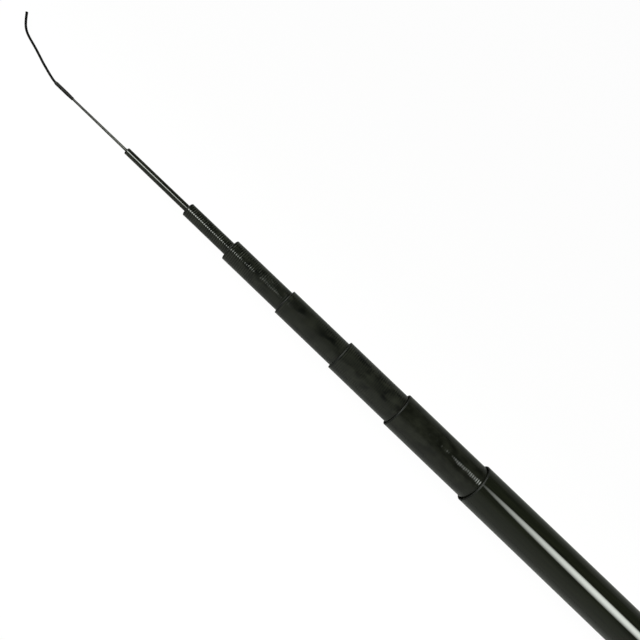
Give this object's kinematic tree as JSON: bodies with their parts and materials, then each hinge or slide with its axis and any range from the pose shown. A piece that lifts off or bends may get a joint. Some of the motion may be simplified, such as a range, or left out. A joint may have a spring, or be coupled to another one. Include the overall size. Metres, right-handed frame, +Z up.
{
  "type": "telescopic fishing pole",
  "caption": "Telescopic pole rod lying partly drawn, with stepped tapering tubes, a thin solid tip with a braided line tail, and a screw cap at the gripped butt.",
  "frame": {"origin": "on the surface that the rod lies on, below the middle of the rod's length at rest, without the braided tail", "axes": "+X along the rod from butt to tip, +Z up from the surface"},
  "size_m": [1.5149, 0.0354, 0.0317],
  "materials": {
    "clear_coated_carbon": "high gloss clear coat over black carbon",
    "wound_carbon": "satin black with fine tape ridges",
    "ground_solid_carbon": "ground dark grey",
    "black_lacquer": "black lacquer",
    "braided_nylon": "round braid, matte black",
    "shrunk_sleeve": "satin black",
    "anodised_aluminium": "black anodised, fluted rim",
    "turned_aluminium": "turned, bare",
    "moulded_rubber": "matte black",
    "ribbed_rubber": "matte black, fine raised pattern"
  },
  "bodies": {
    "butt": {"butt_section": "clear_coated_carbon", "mouth_ring_8": "black_lacquer", "grip_sleeve": "ribbed_rubber", "butt_ferrule": "turned_aluminium"},
    "cap_inner": {"cap_seal": "moulded_rubber", "cushion_pad": "moulded_rubber"},
    "cap": {"butt_cap": "anodised_aluminium"},
    "tube_7": {"section_7": "wound_carbon", "mouth_ring_7": "black_lacquer"},
    "tube_6": {"section_6": "wound_carbon", "mouth_ring_6": "black_lacquer"},
    "tube_5": {"section_5": "wound_carbon", "mouth_ring_5": "black_lacquer"},
    "tube_4": {"section_4": "wound_carbon", "mouth_ring_4": "black_lacquer"},
    "tube_3": {"section_3": "wound_carbon", "mouth_ring_3": "black_lacquer"},
    "tube_2": {"section_2": "wound_carbon", "mouth_ring_2": "black_lacquer"},
    "tip": {"tip_blank": "ground_solid_carbon", "lilian_sleeve": "shrunk_sleeve", "lilian": "braided_nylon"}
  },
  "joints": [
    {"name": "tube_7_slide", "type": "slide", "parent": "butt", "child": "tube_7", "axis": [1, 0, 0], "range_m": [-0.0596, 0.917]},
    {"name": "tube_6_slide", "type": "slide", "parent": "tube_7", "child": "tube_6", "axis": [1, 0, 0], "range_m": [-0.0434, 0.9522]},
    {"name": "tube_5_slide", "type": "slide", "parent": "tube_6", "child": "tube_5", "axis": [1, 0, 0], "range_m": [-0.0419, 0.9677]},
    {"name": "tube_4_slide", "type": "slide", "parent": "tube_5", "child": "tube_4", "axis": [1, 0, 0], "range_m": [-0.041, 0.9826]},
    {"name": "tube_3_slide", "type": "slide", "parent": "tube_4", "child": "tube_3", "axis": [1, 0, 0], "range_m": [-0.0311, 1.0065]},
    {"name": "tube_2_slide", "type": "slide", "parent": "tube_3", "child": "tube_2", "axis": [1, 0, 0], "range_m": [-0.0467, 0.9999]},
    {"name": "tip_slide", "type": "slide", "parent": "tube_2", "child": "tip", "axis": [1, 0, 0], "range_m": [-0.041, 1.0196]},
    {"name": "cap_travel", "type": "slide", "parent": "butt", "child": "cap_inner", "axis": [1, 0, 0], "range_m": [-0.008, 0]},
    {"name": "cap_turn", "type": "hinge", "parent": "cap_inner", "child": "cap", "pos_m": [-0.72557, 0, 0.01586], "axis": [1, 0, 0], "range_deg": [-1440, 0]}
  ],
  "couplings": [
    {"joint": "cap_travel", "follows": "cap_turn", "m_per_rad": 0.00031831}
  ]
}
